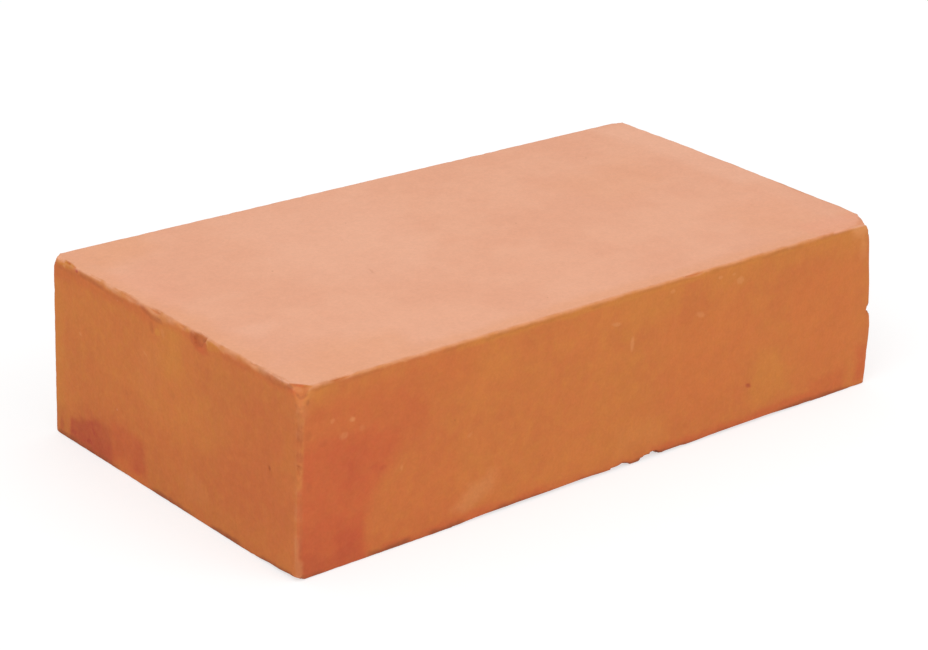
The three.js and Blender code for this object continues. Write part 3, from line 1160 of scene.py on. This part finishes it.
# How each arris has worn, with its lighter rim and painted shade line, by the signs of the two sides that
# meet there. The rest are plain.
ARRIS_LOOKS: dict[tuple[int, int, int], ArrisLook] = {
    (-1, 0, 1): ArrisLook(wear=0.42, reach=1.6, rim=0.9, rim_width=2.1, lap=0.3, stray=0.7, fresh=0.7),
    # The front upper arris has a painted shade line just under its rim.
    (0, -1, 1): ArrisLook(
        wear=0.34, reach=1.5, rim=0.6, rim_width=1.0, lap=0.0, stray=0.5, scorch=0.2, scorch_from=0.7
    ),
    # On the far upper arrises the beds' colour, with its painted sheen, laps over to the edge.
    (1, 0, 1): ArrisLook(fresh=0.0, lap=1.2, stray=1.0),
    (0, 1, 1): ArrisLook(fresh=0.0, lap=1.2, stray=1.0),
    (-1, -1, 0): ArrisLook(reach=1.6, rim=0.3, rim_width=2.2),
    (1, -1, 0): ArrisLook(rim=0.35, rim_width=2.0),
    # The lower arrises have a painted contact shadow along the foot.
    **dict.fromkeys(
        LOWER_ARRISES,
        ArrisLook(wear=0.14, reach=1.1, rim=0.0, lap=-0.8, fresh=0.25, scorch=0.8, scorch_to=2.4),
    ),
}


@dataclass(frozen=True)
class ClayWear:
    """How this clay crumbles, breaks and rubs, on every arris alike, and where its painted shade lines and
    partly painted lighter rims lie.

    The pairs are where a share starts and where it is full.
    """

    crumbs: Lumps = Lumps(3.6, 3)
    crumb_lift: float = 0.2  # raises the noise of the crumbs, so that more of them show
    crumb_zones: Zones = Zones(12.0, 2, 9.0, low=-0.3, high=0.5, least=0.45)
    crumb_bares: tuple[float, float] = (0.2, 0.6)  # depth at which crumbs bare fresh clay
    crumb_fresh: float = 0.4  # how fresh that clay looks at most
    sound_loss: float = 0.45  # how far a sound arris lies inside the sharp box
    steep: tuple[float, float] = (0.25, 0.6)  # slope of a loss that makes it a break
    slope_base: float = 0.8  # added to the distance from the arris, over which that slope is taken
    deep: tuple[float, float] = (0.5, 1.1)  # depth of a loss that makes it a break
    break_fresh: float = 0.9  # how fresh a break looks at most
    break_relief: float = 0.3  # roughness of the breaks
    break_lumps: Lumps = Lumps(1.6, 3, 5.0)
    lap_waves: Lumps = Lumps(9.0, 2, 17.0)
    lap_ripples: Lumps = Lumps(3.0, 2, 19.0)
    ripple_share: float = 0.5  # how strong the ripples are beside the waves
    lap_fade: float = 1.2
    lap_retreat: float = 2.4  # how far the bed's colour draws back for each millimetre of deep loss
    rim_edges: Lumps = Lumps(4.5, 3, 11.0)
    rim_wander: float = 0.6
    rim_full: float = 0.4  # the share of its width over which a rim is full
    rim_on_bed: float = 0.5  # its width on a bed, as a share of its width on a side
    rim_zones: Zones = Zones(10.0, 2, 23.0, low=-0.35, high=0.3, least=0.35)
    # Zones where the painted shade lines show.
    scorch_zones: Zones = Zones(12.0, 2, 31.0, low=-0.5, high=0.4)
    scorch_start: tuple[float, float] = (-0.4, 0.3)  # the near edge of a painted shade line
    gold_covers: tuple[float, float] = (0.7, 0.9)  # strength at which gold covers the lighter rim


def laid_out(kind: type, side: Side, table: dict[Tint, tuple]) -> list:
    """Make the patches or the marks of one side, of the kind Patch or Mark, from their table."""
    return [kind(side, tint, *row) for tint, rows in table.items() for row in rows]


@dataclass(frozen=True)
class Spot:
    """A point of the skin, laid on the solid."""

    sharp: Vector  # its place on the sharp box
    found: Vector  # its place on the solid
    outward: Vector  # the way from the heart of the brick through both
    lost: float  # how much clay is gone between the two
    to_arris: float  # how far the sharp place lies from the nearest arris
    look: ArrisLook  # how that arris has worn


@dataclass
class Brick:
    """The brick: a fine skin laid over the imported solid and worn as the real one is."""

    core: bpy.types.Object
    box: BrickBox
    cover: float = 20.0  # how deep the lines start along which the skin is pressed on the solid
    side_fade: float = 1.2  # how far a side's patches run over its arrises
    wear: ClayWear = ClayWear()

    def __post_init__(self) -> None:
        """Lay out the patches, the marks and the worn stretches."""
        self.patches = {side: laid_out(Patch, side, PATCHES[side]) for side in Side}
        self.marks = {side: laid_out(Mark, side, MARKS[side]) for side in Side}
        near = self.box.near_arris
        self.crumbled_stretch = WornStretch(near(self.box.size.z), near(33.0), reach=2.6, wear=0.12)
        self.blunt_stretch = WornStretch(near(51.0), near(46.0), reach=3.2)  # a notch rubbed shallow

    def spot(self, tree: BVHTree, sharp: Vector) -> Spot:
        """Find the place on the solid of a point of the sharp box.

        Args:
            tree: The faces of the solid, in metres.
            sharp: The point.

        Returns:
            The spot of the skin.
        """
        heart = self.box.heart(sharp, self.cover)
        outward = (sharp - heart).normalized()
        hit, _, _, _ = tree.ray_cast(heart * MM, outward)
        found = hit / MM if hit is not None else sharp
        lost = (sharp - found).length
        sound = self.wear.sound_loss
        if lost > sound:
            found = found.lerp(sharp, self.blunt_stretch.share(sharp) * (1.0 - sound / lost))
            lost = (sharp - found).length
        look = ARRIS_LOOKS.get(self.box.nearest_arris(sharp), ArrisLook())
        return Spot(sharp, found, outward, lost, sorted(self.box.depths(sharp))[1], look)

    def crumbled(self, spot: Spot) -> float:
        """Say how deep a spot has crumbled.

        Args:
            spot: The spot.

        Returns:
            The depth, from 0 up.
        """
        look = spot.look
        depth = look.wear * (1.0 - smooth(spot.to_arris, FULL_WEAR * look.reach, look.reach))
        depth = max(depth, self.crumbled_stretch.wear * self.crumbled_stretch.share(spot.sharp))
        crumbs = self.wear.crumbs.at(spot.found) + self.wear.crumb_lift
        return depth * self.wear.crumb_zones.share(spot.found) * min(1.0, max(0.0, crumbs))

    def broken(self, spot: Spot) -> float:
        """Say how much a spot lies in a break, from 0 to 1."""
        steep = smooth(spot.lost / (spot.to_arris + self.wear.slope_base), *self.wear.steep)
        return spot.look.fresh * steep * smooth(spot.lost, *self.wear.deep)

    def on_bed(self, spot: Spot) -> float:
        """Say how much of the beds' colour, with its painted sheen, a spot has.

        Args:
            spot: The spot.

        Returns:
            A share from 0 to 1.
        """
        wear = self.wear
        ripples = wear.lap_waves.at(spot.found) + wear.ripple_share * wear.lap_ripples.at(spot.found)
        bared = wear.lap_retreat * spot.look.fresh * max(0.0, spot.lost - wear.deep[0])
        ledge = self.box.ledge(spot.sharp) + spot.look.lap + spot.look.stray * ripples - bared
        return smooth(ledge, -wear.lap_fade, wear.lap_fade)

    def tinted(self, sharp: Vector) -> tuple[dict[Tint, float], float]:
        """Gather what the patches and the marks do at a point of the sharp box.

        Args:
            sharp: The point.

        Returns:
            The strength of each tint, and how deep the point is pressed in.
        """
        tints = dict.fromkeys(Tint, 0.0)
        pressed = 0.0
        for side in Side:
            near = 1.0 - smooth(self.box.depth(sharp, side), 0.0, self.side_fade)
            if near == 0.0:
                continue
            for patch in self.patches[side]:
                tints[patch.tint] = max(tints[patch.tint], near * patch.share(sharp))
            for mark in self.marks[side]:
                share = near * mark.share(sharp)
                tints[mark.tint] = max(tints[mark.tint], share * mark.strength)
                pressed = max(pressed, share * mark.depth)
        return tints, pressed

    def masks(
        self, spot: Spot, tints: dict[Tint, float], crumbled: float, broken: float
    ) -> dict[str, float]:
        """Work out the masks of a spot.

        Args:
            spot: The spot.
            tints: What the patches and marks do there.
            crumbled: How deep it has crumbled.
            broken: How much it lies in a break.

        Returns:
            The value of each mask, by its name.
        """
        wear, look = self.wear, spot.look
        lapped = tints[Tint.BED]
        on_bed = self.on_bed(spot)
        bed = max(on_bed, lapped) * (1.0 - tints[Tint.BARE])
        tints[Tint.BED] = bed
        tints[Tint.FLASH] *= 1.0 - tints[Tint.BARE] * (1.0 - on_bed)

        gap = spot.to_arris + wear.rim_wander * wear.rim_edges.at(spot.found)
        # A painted shade line along the arris, as strong as its look asks.
        line = smooth(gap, *(look.scorch_from + shift for shift in wear.scorch_start))
        line *= 1.0 - smooth(gap, 0.5 * (look.scorch_from + look.scorch_to), look.scorch_to)
        line *= look.scorch * (1.0 - bed) * wear.scorch_zones.share(spot.found)
        tints[Tint.SCORCH] = max(tints[Tint.SCORCH], line)
        # The lighter rim: partly rubbed clay, partly a painted highlight on the arris.
        width = look.rim_width * (wear.rim_on_bed if bed > 0.5 else 1.0)
        rim = look.rim * wear.rim_zones.share(spot.found) * (1.0 - smooth(gap, wear.rim_full * width, width))

        golden = smooth(tints[Tint.GOLD], *wear.gold_covers)
        covered = max(lapped, golden, tints[Tint.FLASH], tints[Tint.STAIN], tints[Tint.SCORCH])
        crumbs = wear.crumb_fresh * look.fresh * smooth(crumbled, *wear.crumb_bares)
        masks = {tint.value: value for tint, value in tints.items()}
        masks["rim"] = rim * (1.0 - covered)
        masks["broken"] = max(wear.break_fresh * broken, crumbs) * (1.0 - lapped)
        return masks

    def press_on_core(self, skin: bmesh.types.BMesh) -> dict[str, list[float]]:
        """Press the skin on the solid and wear it, always inwards.

        Args:
            skin: The closed grid over the sharp box.

        Returns:
            The masks of the skin: a value for each vertex under each name.
        """
        core_mesh = bmesh.new()
        core_mesh.from_mesh(self.core.data)
        tree = BVHTree.FromBMesh(core_mesh)
        masks: dict[str, list[float]] = {}
        for vert in skin.verts:
            spot = self.spot(tree, vert.co.copy())
            crumbled = self.crumbled(spot)
            broken = self.broken(spot)
            rough = self.wear.break_relief * broken * (0.5 + 0.5 * self.wear.break_lumps.at(spot.found))
            tints, pressed = self.tinted(spot.sharp)
            vert.co = spot.found - spot.outward * (crumbled + max(0.0, rough) + pressed)
            for name, value in self.masks(spot, tints, crumbled, broken).items():
                masks.setdefault(name, []).append(value)
        core_mesh.free()
        return masks

    def build(self, finish: bpy.types.Material) -> bpy.types.Object:
        """Build the brick's skin as an object.

        Args:
            finish: Its material.

        Returns:
            The object, in the frame's place.
        """
        skin = SkinGrid(self.box).build([mark for marks in self.marks.values() for mark in marks])
        masks = self.press_on_core(skin)
        bmesh.ops.scale(skin, vec=(MM, MM, MM), verts=skin.verts)
        for face in skin.faces:
            face.smooth = True
        mesh = bpy.data.meshes.new("clay_brick")
        skin.to_mesh(mesh)
        skin.free()
        for name, values in masks.items():
            attribute = mesh.attributes.new(name, "FLOAT", "POINT")
            attribute.data.foreach_set("value", values)
        mesh.materials.append(finish)
        triangles = sum(len(face.vertices) - 2 for face in mesh.polygons)
        LOG.info("clay_brick: %d faces, %d triangles", len(mesh.polygons), triangles)
        return put_up("clay_brick", mesh)


@dataclass(frozen=True)
class ViewPoint:
    """Where the camera stands and what it looks at, in millimetres."""

    eye: Vector = field(default_factory=lambda: Vector((-505.951, -559.785, 337.72)))
    target: Vector = field(default_factory=lambda: Vector((-5.697, 0.909, 29.5)))
    roll_deg: float = 2.6
    lens: float = 98.634
    sensor: float = 36.0
    clip: tuple[float, float] = (0.01, 50.0)  # the nearest and the farthest that shows, in metres

    def build(self) -> None:
        """Put up the camera and make it the scene's camera."""
        forward = (self.target - self.eye).normalized()
        level = forward.cross(Vector((0, 0, 1))).normalized()
        right = Quaternion(forward, -math.radians(self.roll_deg)) @ level
        turn = Matrix((right, right.cross(forward), -forward)).transposed()
        data = bpy.data.cameras.new("camera")
        data.lens = self.lens
        data.sensor_width = self.sensor
        data.sensor_fit = "HORIZONTAL"
        data.clip_start, data.clip_end = self.clip
        camera = put_up("camera", data)
        camera.matrix_world = Matrix.Translation(self.eye * MM) @ turn.to_4x4()
        bpy.context.scene.camera = camera


@dataclass(frozen=True)
class Softbox:
    """A square soft lamp, in metres and watts."""

    name: str
    place: Vector
    size: float
    watts: float

    def build(self, target: Vector) -> None:
        """Hang the lamp.

        Args:
            target: The point that it is aimed at, in metres.
        """
        data = bpy.data.lights.new(self.name, "AREA")
        data.shape = "SQUARE"
        data.size = self.size
        data.energy = self.watts
        lamp = put_up(self.name, data)
        aim = (target - self.place).to_track_quat("-Z", "Y")
        lamp.matrix_world = Matrix.Translation(self.place) @ aim.to_matrix().to_4x4()


@dataclass
class Studio:
    """The pale floor, the soft light and the plain world."""

    box: BrickBox
    floor_size: float = 8.0  # in metres
    floor_ledge: float = 10.0  # how far the floor runs in under the brick, around an opening
    floor_gap: float = 0.1  # how far it lies below the brick, so that the two never flicker
    floor_white: float = 0.8
    shadow_share: float = 0.45  # how much of the floor's white can be shaded
    floor_full: float = 1.06  # the brightness of the floor where nothing shades it
    world_light: float = 0.7

    def seen_directly(self, bench: NodeBench) -> Socket:
        """Tell the rays that show a background from the rays that light the brick.

        Args:
            bench: The bench of the background.

        Returns:
            1 for the rays that show it and 0 for the rest.
        """
        rays = bench.add("ShaderNodeLightPath").outputs
        glossy = bench.join("MAXIMUM", rays["Is Camera Ray"], rays["Is Glossy Ray"])
        return bench.join("MAXIMUM", glossy, rays["Is Transmission Ray"])

    def floor_paint(self) -> bpy.types.Material:
        """Mix the floor's paint, which seen directly glows nearly white and keeps the shadow.

        Returns:
            The paint.
        """
        paint = bpy.data.materials.new("floor_paint")
        bench = NodeBench.on(paint)
        seen = self.seen_directly(bench)
        whites = [(white, white, white, 1.0) for white in (self.floor_white, self.shadow_share)]
        matt = bench.add("ShaderNodeBsdfDiffuse", {"Color": bench.blend(seen, *whites)})
        strength = bench.ease(seen, 0.0, 1.0, 0.0, self.floor_full - self.shadow_share)
        glow = bench.add("ShaderNodeEmission", {"Strength": strength})
        both = bench.add("ShaderNodeAddShader", {0: matt.outputs["BSDF"], 1: glow.outputs["Emission"]})
        bench.add("ShaderNodeOutputMaterial", {"Surface": both.outputs["Shader"]})
        return paint

    def floor(self) -> None:
        """Lay the floor, open below the brick so that the lower bed can be looked at too."""
        slab = bmesh.new()
        half = self.floor_size / 2
        bmesh.ops.create_grid(slab, x_segments=3, y_segments=3, size=half)
        for vert in slab.verts:
            for axis in range(2):
                opening = (self.box.size[axis] / 2 - self.floor_ledge) * MM
                reach = half if abs(vert.co[axis]) > half / 2 else opening
                vert.co[axis] = math.copysign(reach, vert.co[axis])
            vert.co.z = -self.floor_gap * MM
        near = self.box.size.y * MM / 4
        middle = [face for face in slab.faces if face.calc_center_median().length < near]
        bmesh.ops.delete(slab, geom=middle, context="FACES_ONLY")
        mesh = bpy.data.meshes.new("floor")
        slab.to_mesh(mesh)
        slab.free()
        mesh.materials.append(self.floor_paint())
        floor = put_up("floor", mesh)
        floor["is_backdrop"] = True

    def world(self) -> None:
        """Light the set evenly and show white behind it."""
        world = bpy.data.worlds.new("studio")
        bench = NodeBench.on(world)
        lit = bench.ease(self.seen_directly(bench), 0.0, 1.0, self.world_light, 1.0)
        sky = bench.add("ShaderNodeBackground", {"Color": WHITE, "Strength": lit})
        bench.add("ShaderNodeOutputWorld", {"Surface": sky.outputs["Background"]})
        bpy.context.scene.world = world

    def build(self) -> None:
        """Put up the floor, the world and the lamps."""
        self.floor()
        self.world()
        target = Vector((0.0, 0.0, 0.03))
        Softbox("key", Vector((-1.6, -0.7, 1.5)), 1.6, 17.5).build(target)
        Softbox("fill", Vector((0.7, -1.7, 1.2)), 1.6, 11.3).build(target)


def main() -> None:
    """Build the studio and the brick, and attach the brick to its body."""
    logging.basicConfig(level=logging.INFO, format="%(name)s: %(message)s")
    scene = bpy.context.scene
    scene.view_settings.view_transform = "Standard"
    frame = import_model()
    cad_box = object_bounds()

    node = "brick"
    box = BrickBox.of_node(node)
    ViewPoint().build()
    Studio(box).build()

    finish = ClayFinish().material()
    brick = Brick(frame["nodes"][node], box)
    piece = brick.build(finish)
    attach(piece, "root")
    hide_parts(node)

    boxes = {"cad": cad_box, "scene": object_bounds()}
    {name: [list(end) for end in box] for name, box in boxes.items()}


if __name__ == "__main__":
    main()
